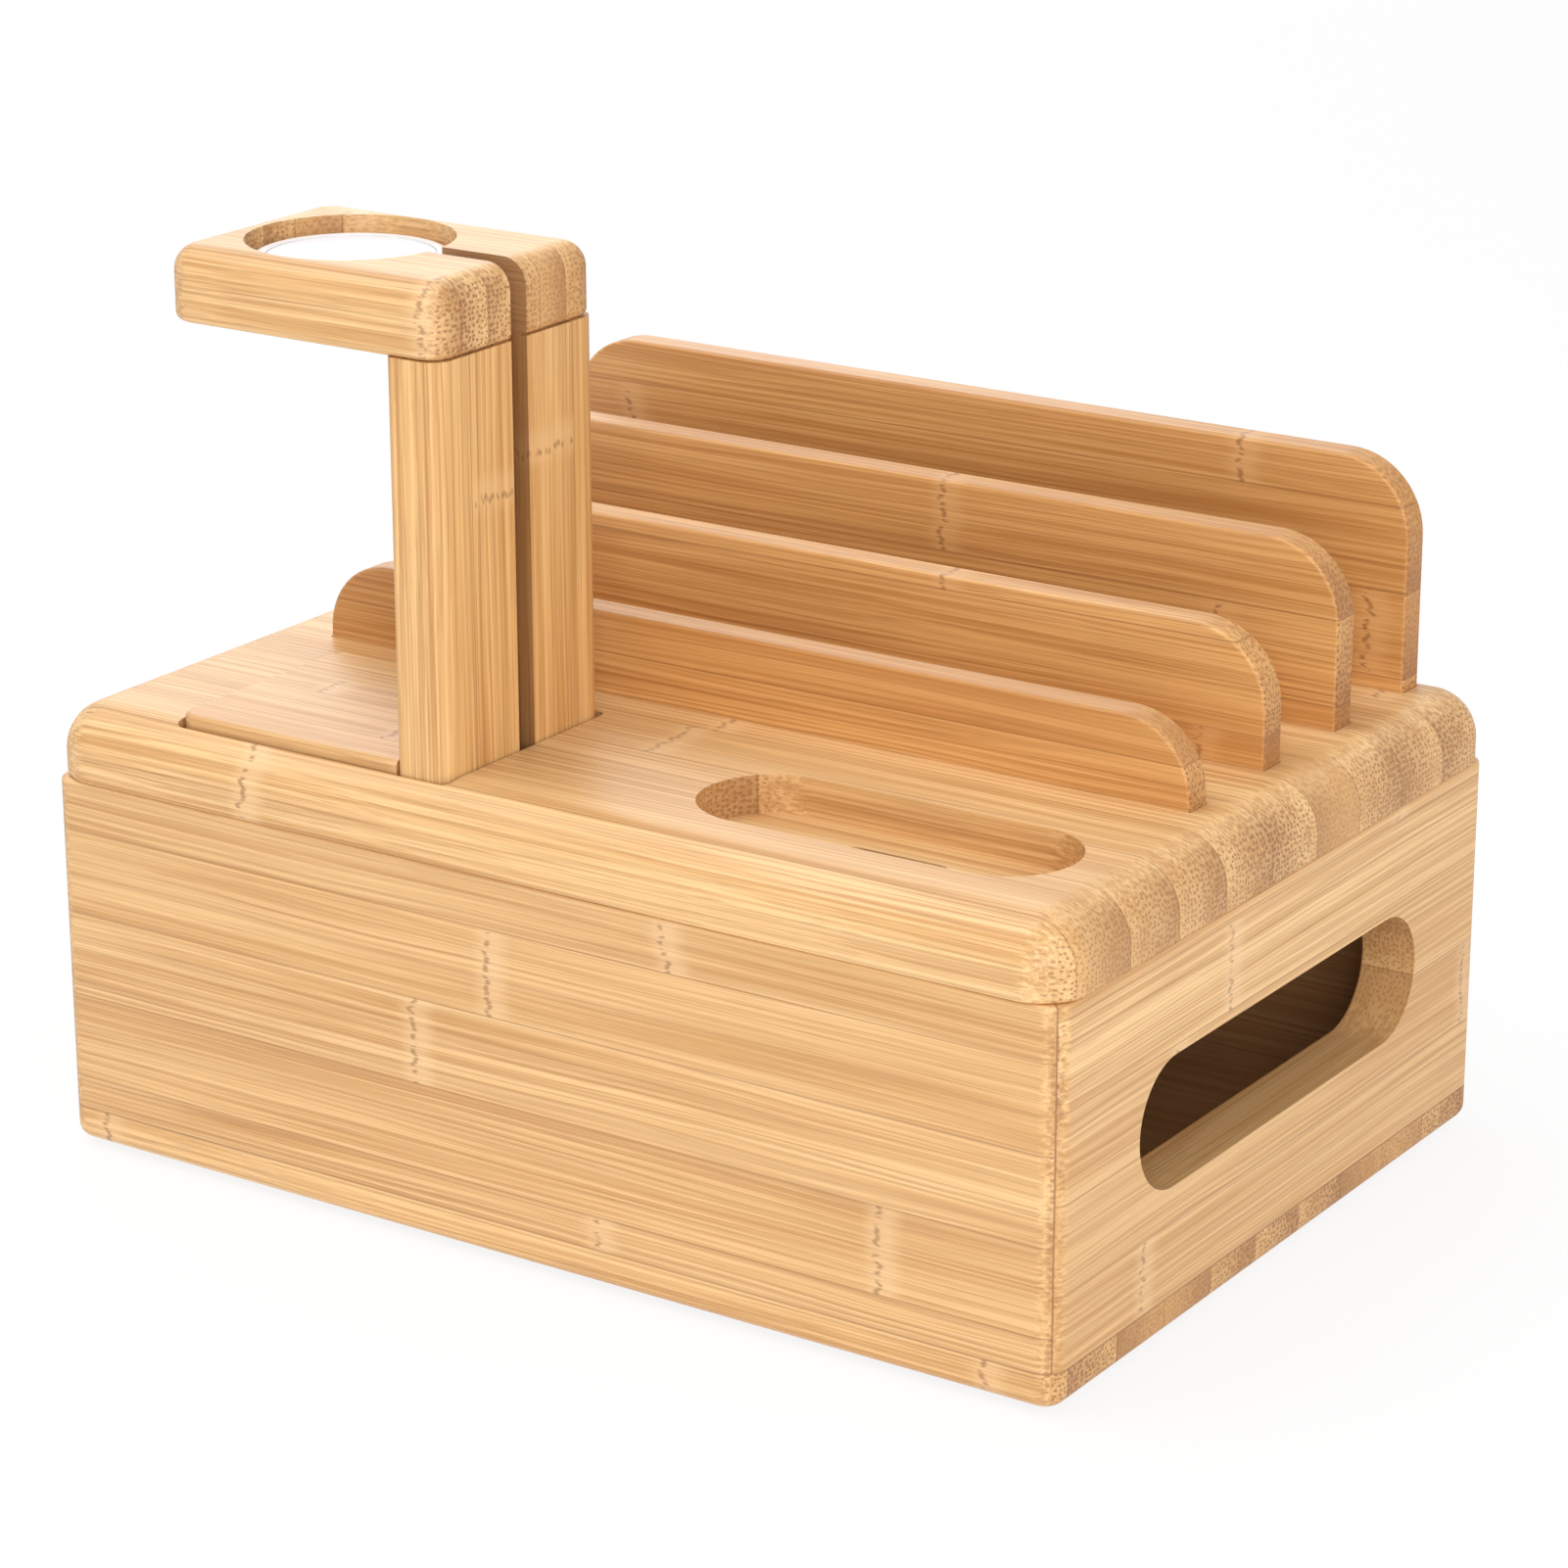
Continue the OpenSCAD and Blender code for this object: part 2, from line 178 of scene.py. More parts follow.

# Edges of the glue lines and of the painted shade, in millimetres
MITRE_EDGE = (0.34, 0.1)
SEAM_EDGE = (0.24, 0.07)
INSIDE_SHADE_EDGE = (0.3, 0.1)
SLOT_SHADE_TOP_EDGE = (0.15, 0.4)
SLOT_SHADE_AREA_EDGE = 1.0
SLIT_SHADE_EDGE = (0.15, 0.05)
ARM_SLIT_SHADE_EDGE = 0.5
POST_SLIT_SHADE_EDGE = (1.0, 1.2)

# Each lamp's name, place, target and size in metres, and the setting that holds its power
LAMPS = (
    ("Key light", (-0.35, -0.25, 1.15), (0.0, 0.0, 0.05), 0.9, "key_power"),
    ("Sheen light", (-1.0, 1.15, 0.75), (-0.05, 0.0, 0.1), 0.8, "sheen_power"),
    ("Fill light", (0.75, -0.75, 0.45), (0.0, 0.0, 0.05), 0.8, "fill_power"),
)
# Half the floor's side, in metres, and the share of plain white where it is seen directly
FLOOR_HALF = 4.0
FLOOR_WHITE = 0.86
WHITE = (1.0, 1.0, 1.0, 1.0)

# The camera that the photograph was taken with: place and clipping in metres, turns in radians,
# lens and sensor in millimetres
CAMERA_PLACE = (0.3957, -0.5893, 0.3000)
CAMERA_YAW = 0.589
CAMERA_PITCH = 0.328
CAMERA_ROLL = -0.002
CAMERA_LENS = 110.4
CAMERA_SENSOR = 36.0
CAMERA_NEAR = 0.01
CAMERA_FAR = 50.0


def body_name(node):
    """The CAD body that a node belongs to."""
    for body, nodes in frame["record"]["behaviour"]["bodies"].items():
        if node in nodes:
            return body
    raise RuntimeError("No body holds " + node)


def dressed_copy(node, suffix, finish):
    """A merged, smoothly shaded copy of a CAD node that stands for it in the scene."""
    work = bmesh.new()
    work.from_mesh(frame["nodes"][node].data)
    bmesh.ops.remove_doubles(work, verts=work.verts, dist=MERGE_DISTANCE)
    for face in work.faces:
        face.smooth = True
        face.material_index = 0
    for edge in work.edges:
        edge.smooth = edge.calc_face_angle(0.0) < SHARP_ANGLE
    mesh = bpy.data.meshes.new(node + suffix)
    work.to_mesh(mesh)
    work.free()
    if "custom_normal" in mesh.attributes:
        mesh.attributes.remove(mesh.attributes["custom_normal"])
    mesh.materials.append(finish)
    piece = bpy.data.objects.new(node + suffix, mesh)
    bpy.context.scene.collection.objects.link(piece)
    weighted = piece.modifiers.new("Even shading", "WEIGHTED_NORMAL")
    weighted.keep_sharp = True
    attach(piece, body_name(node))
    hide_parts(node)
    return piece


class Value:
    """A float socket. Sums and products on it add Math nodes."""

    def __init__(self, finish, socket):
        self.finish = finish
        self.socket = socket

    def __add__(self, other):
        return self.finish.maths("ADD", self, other)

    def __radd__(self, other):
        return self.finish.maths("ADD", other, self)

    def __sub__(self, other):
        return self.finish.maths("SUBTRACT", self, other)

    def __rsub__(self, other):
        return self.finish.maths("SUBTRACT", other, self)

    def __mul__(self, other):
        return self.finish.maths("MULTIPLY", self, other)

    def __rmul__(self, other):
        return self.finish.maths("MULTIPLY", other, self)

    def __truediv__(self, other):
        return self.finish.maths("DIVIDE", self, other)

    def __abs__(self):
        return self.finish.maths("ABSOLUTE", self)


def opaque(colour):
    """A colour with full alpha."""
    return (colour[0], colour[1], colour[2], 1.0)


class Finish:
    """A material under construction."""

    def __init__(self, name):
        self.material = bpy.data.materials.new(name)
        self.material.use_nodes = True
        self.tree = self.material.node_tree
        self.tree.nodes.clear()
        self.surface = self.add("ShaderNodeBsdfPrincipled")
        self.output = self.add(
            "ShaderNodeOutputMaterial", inputs={"Surface": self.surface.outputs[0]}
        )
        self.coordinates = self.add("ShaderNodeTexCoord")

    def add(self, kind, settings=None, inputs=None):
        """Any node, with its settings made first and then its sockets."""
        node = self.tree.nodes.new(kind)
        for key, value in (settings or {}).items():
            setattr(node, key, value)
        for key, value in (inputs or {}).items():
            self.feed(node.inputs[key], value)
        return node

    def feed(self, socket, value):
        """Link a socket to another one, or give it a fixed value."""
        if isinstance(value, Value):
            value = value.socket
        if isinstance(value, bpy.types.NodeSocket):
            self.tree.links.new(value, socket)
        else:
            socket.default_value = value

    def paint(self, **inputs):
        """Feed the surface's sockets, named with underscores for spaces."""
        for name, value in inputs.items():
            self.feed(self.surface.inputs[name.replace("_", " ")], value)

    def maths(self, operation, *terms):
        node = self.add("ShaderNodeMath", {"operation": operation}, dict(enumerate(terms)))
        return Value(self, node.outputs[0])

    def axes(self, output, scale=1.0):
        """The three parts of a texture coordinate, times scale."""
        node = self.add("ShaderNodeSeparateXYZ", inputs={0: self.coordinates.outputs[output]})
        return {axis: Value(self, node.outputs[axis]) * scale for axis in "XYZ"}

    def vector(self, x, y, z=0.0):
        node = self.add("ShaderNodeCombineXYZ", inputs={0: x, 1: y, 2: z})
        return node.outputs[0]

    def ramp(self, value, low, high):
        """0 at low and 1 at high, smoothly; low may be the larger one."""
        if low > high:
            return 1.0 - self.ramp(value, high, low)
        node = self.add(
            "ShaderNodeMapRange",
            {"interpolation_type": "SMOOTHSTEP"},
            {"Value": value, "From Min": low, "From Max": high},
        )
        return Value(self, node.outputs[0])

    def noise(self, vector, detail=2.0, roughness=0.5):
        node = self.add(
            "ShaderNodeTexNoise",
            inputs={"Vector": vector, "Scale": 1.0, "Detail": detail, "Roughness": roughness},
        )
        return Value(self, node.outputs[0])

    def chance(self, x, y):
        """A fixed random number for each pair of whole numbers."""
        node = self.add(
            "ShaderNodeTexWhiteNoise", {"noise_dimensions": "2D"}, {"Vector": self.vector(x, y)}
        )
        return Value(self, node.outputs["Value"])

    def cells(self, x, y, randomness):
        """Distance to the nearest of the points scattered on a plane."""
        node = self.add(
            "ShaderNodeTexVoronoi",
            {"voronoi_dimensions": "2D", "feature": "F1"},
            {"Vector": self.vector(x, y), "Scale": 1.0, "Randomness": randomness},
        )
        return Value(self, node.outputs["Distance"])

    def blend(self, factor, first, second):
        """A colour between two colours."""
        node = self.add("ShaderNodeMix", {"data_type": "RGBA"}, {0: factor, 6: first, 7: second})
        return node.outputs[2]

    def bump(self, height, strength, distance):
        node = self.add(
            "ShaderNodeBump", inputs={"Height": height, "Strength": strength, "Distance": distance}
        )
        self.paint(Normal=node.outputs[0])


class Bamboo(Finish):
    """Laminated bamboo: strips glued side by side, each with fibres, joints and bundle dots.

    along is the axis of the grain, across the axis that the strips are laid out on, and strip
    the width of one in millimetres.
    """

    def __init__(self, name, along, across, strip, seed):
        super().__init__(name)
        self.look = bpy.context.scene.organizer_bamboo
        self.place = self.axes("Object", MM)
        deep = [axis for axis in "XYZ" if axis not in (along, across)][0]
        self.u, self.v, self.w = (self.place[axis] for axis in (along, across, deep))
        self.end = self.ramp(abs(self.axes("Normal")[along]), *END_STEP)
        self.make_strips(strip, seed)
        self.make_fibres()
        self.make_bundles()
        self.make_joints()

    def make_strips(self, strip, seed):
        """Each strip has its own shade and its own start along the culm."""
        spot = self.v / strip + SEED_SHIFT * seed
        index = self.maths("FLOOR", spot)
        self.inside = self.maths("FRACT", spot)
        self.shade = self.chance(index, seed)
        self.start = self.chance(index, seed + START_DRAW)
        self.lean = self.chance(index, seed + LEAN_DRAW)
        self.drift = self.start * DRIFT_REACH
        to_glue = self.maths("MINIMUM", self.inside, 1.0 - self.inside) * strip
        self.glue = self.ramp(to_glue, *GLUE_EDGE)

    def fibres(self, waves, sideways, detail, roughness):
        """Noise that is drawn out along the grain."""
        along, across = waves
        place = self.vector(self.u * along, sideways * across, self.w * across + self.drift)
        return self.noise(place, detail, roughness)

    def make_fibres(self):
        """Streaks of three widths that run along the grain and wander a little."""
        along, across = WANDER_WAVES
        bend = self.noise(self.vector(self.u * along, self.v * across, self.drift)) - 0.5
        self.sideways = self.v + bend * WANDER_REACH
        self.streak = self.fibres(STREAK_WAVES, self.sideways, detail=3.0, roughness=0.6)
        self.fine = self.fibres(FINE_WAVES, self.sideways, detail=2.0, roughness=0.6)
        self.broad = self.fibres(BROAD_WAVES, self.v, detail=2.0, roughness=0.5)

    def make_bundles(self):
        """Bundles are columns along the grain that show as dots on the end grain."""
        pitch = self.look.bundle_pitch * MM
        distance = self.cells(
            self.sideways / pitch, self.w / (pitch * BUNDLE_FLATNESS), BUNDLE_SCATTER
        )
        self.crowd = abs(self.inside - self.ramp(self.lean, *LEAN_STEP))
        radius = BUNDLE_RADIUS + BUNDLE_GROWTH * self.crowd
        self.bundle = self.ramp(distance - radius, *BUNDLE_EDGE)

    def make_joints(self):
        """Joints of the culm: a pale band with a thin, wavy, broken dark line."""
        pitch = self.look.joint_pitch * MM
        turn = self.maths("FRACT", self.u / pitch + self.start) - 0.5
        ripple = self.vector(self.v * JOINT_WAVES, self.w * JOINT_WAVES, self.drift)
        swing = (self.noise(ripple, detail=3.0, roughness=0.65) - 0.5) * JOINT_SWING
        from_joint = turn * pitch + swing
        self.band = self.ramp(abs(from_joint), *JOINT_BAND_EDGE)
        along, across = BREAK_WAVES
        broken = self.noise(
            self.vector(self.v * across, self.u * along, self.w * across + self.drift)
        )
        line = self.ramp(abs(from_joint + JOINT_LINE_SHIFT), *JOINT_LINE_EDGE)
        self.line = line * self.ramp(broken, *BREAK_STEP)

    def by_grain(self, pair):
        """A value on side grain, and what end grain adds to it."""
        on_side, added = pair
        return on_side + added * self.end

    def colour(self, glue_lines_and_shade):
        """The bamboo's colour: each layer is how much it covers, and its own colour."""
        look = self.look
        side = 1.0 - self.end
        mix = self.ramp(self.streak * STREAK_SHARE + self.broad * BROAD_SHARE, *MIX_STEP)
        colour = self.blend(mix, opaque(look.middle), opaque(look.light))
        layers = [
            (self.ramp(self.fine, *FINE_STEP) * FINE_COVER, look.dark),
            (self.bundle * self.by_grain(BUNDLE_COVER), look.dark),
            (self.shade * SHADE_COVER * self.by_grain(SHADE_GRAIN), look.middle),
            (self.end * self.crowd * CROWD_COVER, look.dark),
            (self.band * side * BAND_COVER, look.pale),
            (self.line * side * LINE_COVER, look.joint_line_and_shade),
            (self.glue * GLUE_COVER, look.joint_line_and_shade),
        ]
        # Glue lines, and painted shade inside the box, the slots and the slit, all in the joint
        # line colour
        layers += [(darkening(self), look.joint_line_and_shade) for darkening in glue_lines_and_shade]
        for cover, tone in layers:
            colour = self.blend(cover, colour, opaque(tone))
        return colour


def bamboo_finish(name, along, across, strip, seed, tint=PLAIN_TINT, glue_lines_and_shade=()):
    """A material of laminated bamboo.

    tint is a factor on its colour, and the functions after it say where it is dark: along glue
    lines, and as painted shade in the hollows.
    """
    wood = Bamboo(name, along, across, strip, seed)
    tinted = wood.add(
        "ShaderNodeVectorMath", {"operation": "MULTIPLY"}, {0: wood.colour(glue_lines_and_shade), 1: tint}
    )
    wood.paint(
        Base_Color=tinted.outputs[0],
        Roughness=WOOD_ROUGHNESS + FINE_ROUGHNESS * wood.fine + END_ROUGHNESS * wood.end,
        Coat_Weight=COAT,
        Coat_Roughness=COAT_ROUGHNESS,
    )
    raised = wood.streak * STREAK_RELIEF + wood.fine * FINE_RELIEF - wood.bundle * BUNDLE_RELIEF
    relief = raised - wood.line * LINE_RELIEF - wood.glue * GLUE_RELIEF
    wood.bump(relief, RELIEF_STRENGTH, RELIEF_DEPTH)
    return wood.material


def mitre_stain(wood):
    """The glue lines of the box's mitres."""
    from_side = BASE_HIGH[0] * MM - abs(wood.place["X"])
    from_front = BASE_HIGH[1] * MM - abs(wood.place["Y"])
    return wood.ramp(abs(from_side - from_front), *MITRE_EDGE) * MITRE_COVER


def within_box(wood, near, far):
    """Two values that are 1 between the box's side walls and between its front and back walls.

    near and far say, in millimetres outwards from the walls' inner faces, where they are 0 and 1.
    """
    within_x = wood.ramp(abs(wood.place["X"]), INNER_X * MM + near, INNER_X * MM + far)
    within_y = wood.ramp(abs(wood.place["Y"]), INNER_Y * MM + near, INNER_Y * MM + far)
    return within_x, within_y


def inside_painted_shade(wood):
    """Painted shade on the inner faces of the box's walls."""
    within_x, within_y = within_box(wood, *INSIDE_SHADE_EDGE)
    return within_x * within_y * INSIDE_SHADE_COVER


def seam_stain(wood):
    """The glue line between the walls and the base panel."""
    return wood.ramp(abs(wood.place["Z"] - BASE_HIGH[2] * MM), *SEAM_EDGE) * SEAM_COVER


def slot_painted_shade(wood):
    """Painted shade on the sides of the cable slots, below the floor of the lid's tray and pocket.
    """
    high, low = SLOT_SHADE_TOP_EDGE
    below = wood.ramp(wood.place["Z"], FLOOR_Z * MM - high, FLOOR_Z * MM - low)
    within_x, within_y = within_box(wood, 0.0, -SLOT_SHADE_AREA_EDGE)
    return below * within_x * within_y * SLOT_SHADE_COVER


def slit_painted_shade(wood, start, complete):
    """Painted shade in the stand's cable slit, from a place along X in millimetres on."""
    wide, narrow = SLIT_SHADE_EDGE
    from_middle = abs(wood.place["Y"] - STAND_Y * MM)
    in_slit_shade = wood.ramp(from_middle, SLIT_HALF * MM + wide, SLIT_HALF * MM + narrow)
    return in_slit_shade * wood.ramp(wood.place["X"], start, complete) * SLIT_SHADE_COVER


def arm_slit_painted_shade(wood):
    """Painted shade in the slit in the arm, from the puck on."""
    return slit_painted_shade(wood, PUCK_HIGH[0] * MM, PUCK_HIGH[0] * MM + ARM_SLIT_SHADE_EDGE)


def post_slit_painted_shade(wood):
    """Painted shade in the slit in the post, all but its inner face."""
    start, complete = POST_SLIT_SHADE_EDGE
    return slit_painted_shade(wood, POST_LOW[0] * MM + start, POST_LOW[0] * MM + complete)


def moulded_finish(name, colour, roughness, grain=0.05):
    """Moulded plastic or rubber with a fine texture."""
    finish = Finish(name)
    place = finish.axes("Object", MM)

    def spread(waves):
        return finish.vector(*(place[axis] * waves for axis in "XYZ"))

    pebble = finish.noise(spread(PEBBLE_WAVES), detail=3.0, roughness=0.6)
    cloud = finish.noise(spread(CLOUD_WAVES))
    deeper = opaque([part * CLOUD_SHADE for part in colour])
    finish.paint(
        Base_Color=finish.blend(cloud * CLOUD_COVER, opaque(colour), deeper),
        Roughness=roughness + (pebble - 0.5) * PEBBLE_ROUGHNESS,
    )
    finish.bump(pebble, grain, PEBBLE_DEPTH)
    return finish.material


class BambooSettings(bpy.types.PropertyGroup):
    light: FloatVectorProperty(
        name="Light fibre", description="Colour of the lightest fibres", subtype="COLOR",
        default=(0.891, 0.588, 0.281),
    )
    middle: FloatVectorProperty(
        name="Middle fibre", description="Colour of the darker fibres", subtype="COLOR",
        default=(0.594, 0.312, 0.11),
    )
    dark: FloatVectorProperty(
        name="Bundles", description="Colour of the vascular bundles", subtype="COLOR",
        default=(0.30, 0.125, 0.042),
    )
    pale: FloatVectorProperty(
        name="Joint band", description="Pale band beside a joint of the culm", subtype="COLOR",
        default=(0.88, 0.60, 0.33),
    )
    # The joint line colour is also the colour of the painted shade inside the box, the slots and
    # the slit
    joint_line_and_shade: FloatVectorProperty(
        name="Joint line", description="Dark line of a joint and of a glue line", subtype="COLOR",
        default=(0.26, 0.105, 0.035),
    )
    bundle_pitch: FloatProperty(
        name="Bundle pitch", description="Distance between vascular bundles", subtype="DISTANCE",
        default=0.00098, unit="LENGTH",
    )
    joint_pitch: FloatProperty(
        name="Joint pitch", description="Distance between two joints of one culm",
        subtype="DISTANCE", default=0.162, unit="LENGTH",
    )
    strip: FloatProperty(
        name="Strip width", description="Width of a strip in the wide boards", subtype="DISTANCE",
        default=0.0137, unit="LENGTH",
    )
    stand_strip: FloatProperty(
        name="Stand strip width", description="Width of a strip in the watch stand",
        subtype="DISTANCE", default=0.0063, unit="LENGTH",
    )


class PlasticSettings(bpy.types.PropertyGroup):
    shell: FloatVectorProperty(
        name="Puck shell", description="Colour of the puck's shell", subtype="COLOR",
        default=(0.90, 0.89, 0.88),
    )
    # The face is greyer and a little bluer than the shell: partly its own tone, partly painted
    # shade
    face: FloatVectorProperty(
        name="Puck face", description="Colour of the puck's charging face", subtype="COLOR",
        default=(0.84, 0.83, 0.86),
    )
    pad: FloatVectorProperty(
        name="Pads", description="Colour of the non-slip pads", subtype="COLOR",
        default=(0.55, 0.54, 0.51),
    )


class StageSettings(bpy.types.PropertyGroup):
    floor: FloatVectorProperty(
        name="Floor", description="Colour of the floor", subtype="COLOR",
        default=(0.92, 0.92, 0.92),
    )
    key_power: FloatProperty(
        name="Key light", description="Power of the large soft light", default=7.2,
        unit="POWER",
    )
    sheen_power: FloatProperty(
        name="Sheen light", description="Power of the light behind the stand", default=4.5,
        unit="POWER",
    )
    fill_power: FloatProperty(
        name="Fill light", description="Power of the light beside the camera", default=7.0,
        unit="POWER",
    )
    surroundings: FloatProperty(
        name="Surroundings", description="Strength of the even light all round", default=0.55,
    )


SETTINGS = {
    "organizer_bamboo": BambooSettings,
    "organizer_plastic": PlasticSettings,
    "organizer_stage": StageSettings,
}


class ORGANIZER_OT_box(bpy.types.Operator):
    """Dress the four mitred walls and the base panel"""

    bl_idname = "organizer.box"
    bl_label = "Box"

    def execute(self, context):
        strip = context.scene.organizer_bamboo.strip * MM
        # Glue lines of the mitres and the base, and painted shade on the walls' inner faces
        glue_lines_and_shade = (mitre_stain, inside_painted_shade, seam_stain)
        for node in WALLS:
            along = "X" if node in ("front_wall", "back_wall") else "Y"
            finish = bamboo_finish(
                node + "_bamboo", along, "Z", strip, SEEDS[node], glue_lines_and_shade=glue_lines_and_shade
            )
            dressed_copy(node, "_wood", finish)
        base = bamboo_finish(
            "base_bamboo", "X", "Y", strip, SEEDS["base_panel"], BASE_TINT, (seam_stain,)
        )
        dressed_copy("base_panel", "_wood", base)
        return {"FINISHED"}


class ORGANIZER_OT_pads(bpy.types.Operator):
    """Dress the non-slip pads under the base"""

    bl_idname = "organizer.pads"
    bl_label = "Pads"

    def execute(self, context):
        look = context.scene.organizer_plastic
        rubber = moulded_finish("pad_rubber", look.pad, roughness=0.7, grain=0.2)
        for node in PADS:
            dressed_copy(node, "_rubber", rubber)
        return {"FINISHED"}


class ORGANIZER_OT_lid(bpy.types.Operator):
    """Dress the lid panel and the cleats under it"""

    bl_idname = "organizer.lid"
    bl_label = "Lid"

    def execute(self, context):
        strip = context.scene.organizer_bamboo.strip * MM
        # The sides of the cable slots get painted shade
        panel = bamboo_finish(
            "lid_bamboo", "X", "Y", strip, SEEDS["lid_panel"], glue_lines_and_shade=(slot_painted_shade,)
        )
        dressed_copy("lid_panel", "_wood", panel)
        cleat = bamboo_finish("cleat_bamboo", "Y", "Z", strip, SEEDS["cleats"], CLEAT_TINT)
        for node in CLEATS:
            dressed_copy(node, "_wood", cleat)
        return {"FINISHED"}


class ORGANIZER_OT_dividers(bpy.types.Operator):
    """Dress the four upright dividers"""

    bl_idname = "organizer.dividers"
    bl_label = "Dividers"

    def execute(self, context):
        strip = context.scene.organizer_bamboo.strip * MM
        for node in DIVIDERS:
            # The dividers' tint is partly their own orange tone and partly painted shade
            finish = bamboo_finish(
                node + "_bamboo", "X", "Z", strip, SEEDS[node], DIVIDER_TONE_AND_SHADE
            )
            dressed_copy(node, "_wood", finish)
        return {"FINISHED"}


class ORGANIZER_OT_stand(bpy.types.Operator):
    """Dress the watch stand's foot, post and arm"""

    bl_idname = "organizer.stand"
    bl_label = "Watch stand"

    def execute(self, context):
        strip = context.scene.organizer_bamboo.stand_strip * MM
        foot = bamboo_finish("foot_bamboo", "X", "Y", strip, SEEDS["stand_foot"])
        dressed_copy("stand_foot", "_wood", foot)
        # The arm and the post get painted shade in their cable slit
        arm = bamboo_finish(
            "arm_bamboo", "X", "Y", strip, SEEDS["stand_arm"], glue_lines_and_shade=(arm_slit_painted_shade,)
        )
        dressed_copy("stand_arm", "_wood", arm)
        # The post's strips are twice as wide as the foot's and the arm's
        post = bamboo_finish(
            "post_bamboo", "Z", "Y", strip * 2.0, SEEDS["stand_post"], POST_TINT,
            (post_slit_painted_shade,),
        )
        dressed_copy("stand_post", "_wood", post)
        return {"FINISHED"}


class ORGANIZER_OT_dowels(bpy.types.Operator):
    """Dress the dowels inside the stand's joints"""

    bl_idname = "organizer.dowels"
    bl_label = "Dowels"

    def execute(self, context):
        strip = context.scene.organizer_bamboo.strip * MM
        upright = bamboo_finish("upright_dowel_wood", "Z", "Y", strip, SEEDS["arm_dowels"])
        level = bamboo_finish("level_dowel_wood", "X", "Y", strip, SEEDS["foot_dowels"])
        for node, finish in zip(DOWELS, (upright, level)):
            dressed_copy(node, "_wood", finish)
        return {"FINISHED"}


class ORGANIZER_OT_puck(bpy.types.Operator):
    """Dress the charging puck's shell and face"""

    bl_idname = "organizer.puck"
    bl_label = "Charging puck"

    def execute(self, context):
        look = context.scene.organizer_plastic
        shell = moulded_finish("puck_shell_plastic", look.shell, roughness=0.34)
        dressed_copy("puck_shell", "_plastic", shell)
        # The face's colour is partly its own tone and partly painted shade
        face = moulded_finish("puck_face_plastic", look.face, roughness=0.42)
        dressed_copy("puck_face", "_plastic", face)
        return {"FINISHED"}


def area_light(name, place, target, size, power):
    """A soft square lamp at place that shines at target and isn't seen itself."""
    lamp = bpy.data.lights.new(name, "AREA")
    lamp.size = size
    lamp.energy = power
    holder = bpy.data.objects.new(name, lamp)
    bpy.context.scene.collection.objects.link(holder)
    holder.location = place
    holder.rotation_euler = (Vector(target) - Vector(place)).to_track_quat("-Z", "Y").to_euler()
    holder.visible_camera = False


def seen_directly(finish):
    """1 on the rays that see the background itself, in the camera, a gloss or a clear piece."""
    rays = finish.add("ShaderNodeLightPath")
    names = ("Is Camera Ray", "Is Glossy Ray", "Is Transmission Ray")
    camera, gloss, clear = (Value(finish, rays.outputs[name]) for name in names)
    return finish.maths("MINIMUM", camera + gloss + clear, 1.0)


class WorldFinish(Finish):
    """The same helpers on the world's node tree."""

    def __init__(self, world):
        world.use_nodes = True
        self.tree = world.node_tree
        self.tree.nodes.clear()


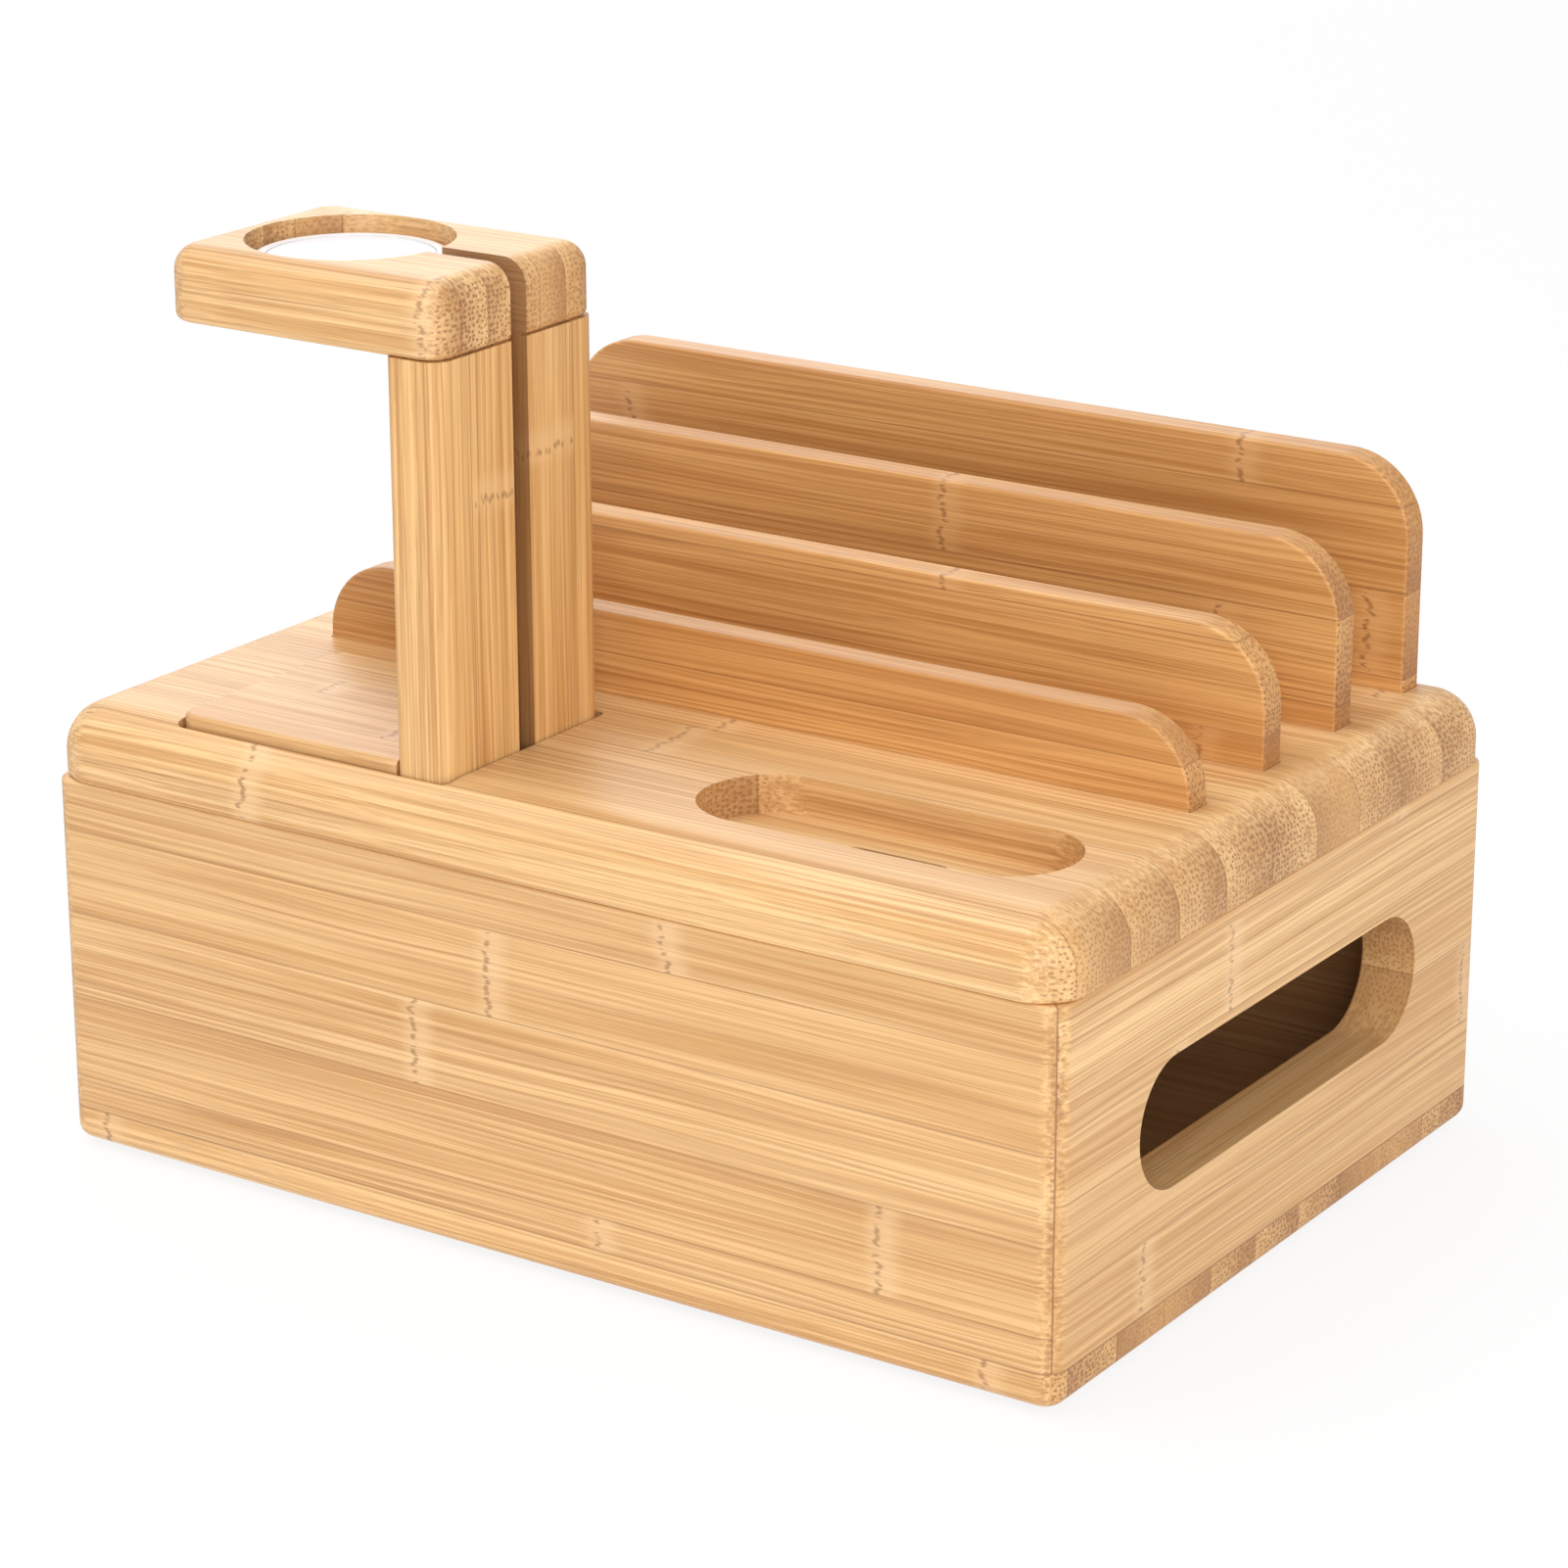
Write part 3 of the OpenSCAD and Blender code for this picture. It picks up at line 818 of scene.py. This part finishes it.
class ORGANIZER_OT_stage(bpy.types.Operator):
    """Make the white floor, the lights and the photograph's camera"""

    bl_idname = "organizer.stage"
    bl_label = "Stage"

    def execute(self, context):
        look = context.scene.organizer_stage
        self.make_floor(look)
        self.make_world(look)
        for name, place, target, size, power in LAMPS:
            area_light(name, place, target, size, getattr(look, power))
        self.make_camera(context.scene)
        context.scene.view_settings.view_transform = "Standard"
        return {"FINISHED"}

    def make_floor(self, look):
        mesh = bpy.data.meshes.new("floor")
        signs = ((-1, -1), (1, -1), (1, 1), (-1, 1))
        corners = [(x * FLOOR_HALF, y * FLOOR_HALF, 0.0) for x, y in signs]
        mesh.from_pydata(corners, [], [(0, 1, 2, 3)])
        floor = bpy.data.objects.new("floor", mesh)
        bpy.context.scene.collection.objects.link(floor)
        finish = Finish("floor_paper")
        finish.paint(Base_Color=opaque(look.floor), Roughness=0.9)
        white = finish.add("ShaderNodeEmission", inputs={"Color": WHITE})
        mixed = finish.add(
            "ShaderNodeMixShader",
            inputs={
                0: seen_directly(finish) * FLOOR_WHITE,
                1: finish.surface.outputs[0],
                2: white.outputs[0],
            },
        )
        finish.feed(finish.output.inputs["Surface"], mixed.outputs[0])
        mesh.materials.append(finish.material)

    def make_world(self, look):
        world = bpy.data.worlds.new("white_room")
        bpy.context.scene.world = world
        finish = WorldFinish(world)
        direct = seen_directly(finish)
        strength = look.surroundings + direct * (1.0 - look.surroundings)
        light = finish.add("ShaderNodeBackground", inputs={"Color": WHITE, "Strength": strength})
        finish.add("ShaderNodeOutputWorld", inputs={"Surface": light.outputs[0]})

    def make_camera(self, scene):
        data = bpy.data.cameras.new("Photo camera")
        data.sensor_width = CAMERA_SENSOR
        data.sensor_fit = "HORIZONTAL"
        data.lens = CAMERA_LENS
        data.clip_start = CAMERA_NEAR
        data.clip_end = CAMERA_FAR
        camera = bpy.data.objects.new("Photo camera", data)
        scene.collection.objects.link(camera)
        turn = Matrix.Rotation(CAMERA_YAW, 4, "Z")
        tilt = Matrix.Rotation(math.pi / 2 - CAMERA_PITCH, 4, "X")
        roll = Matrix.Rotation(CAMERA_ROLL, 4, "Z")
        camera.matrix_world = Matrix.Translation(CAMERA_PLACE) @ turn @ tilt @ roll
        scene.camera = camera


STEPS = (
    ORGANIZER_OT_box,
    ORGANIZER_OT_pads,
    ORGANIZER_OT_lid,
    ORGANIZER_OT_dividers,
    ORGANIZER_OT_stand,
    ORGANIZER_OT_dowels,
    ORGANIZER_OT_puck,
    ORGANIZER_OT_stage,
)


class ORGANIZER_PT_panel(bpy.types.Panel):
    bl_idname = "ORGANIZER_PT_panel"
    bl_label = "Charging organizer"
    bl_space_type = "VIEW_3D"
    bl_region_type = "UI"
    bl_category = "Organizer"

    def draw(self, context):
        layout = self.layout
        for step in STEPS:
            layout.operator(step.bl_idname)
        for group, kind in SETTINGS.items():
            for name in kind.__annotations__:
                layout.prop(getattr(context.scene, group), name)


def register():
    for group, kind in SETTINGS.items():
        bpy.utils.register_class(kind)
        setattr(bpy.types.Scene, group, PointerProperty(type=kind))
    for kind in STEPS + (ORGANIZER_PT_panel,):
        bpy.utils.register_class(kind)


def unregister():
    for kind in reversed(STEPS + (ORGANIZER_PT_panel,)):
        bpy.utils.unregister_class(kind)
    for group, kind in SETTINGS.items():
        delattr(bpy.types.Scene, group)
        bpy.utils.unregister_class(kind)


def main():
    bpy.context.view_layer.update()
    register()
    for step in STEPS:
        group, name = step.bl_idname.split(".")
        getattr(getattr(bpy.ops, group), name)()


if __name__ == "__main__":
    main()
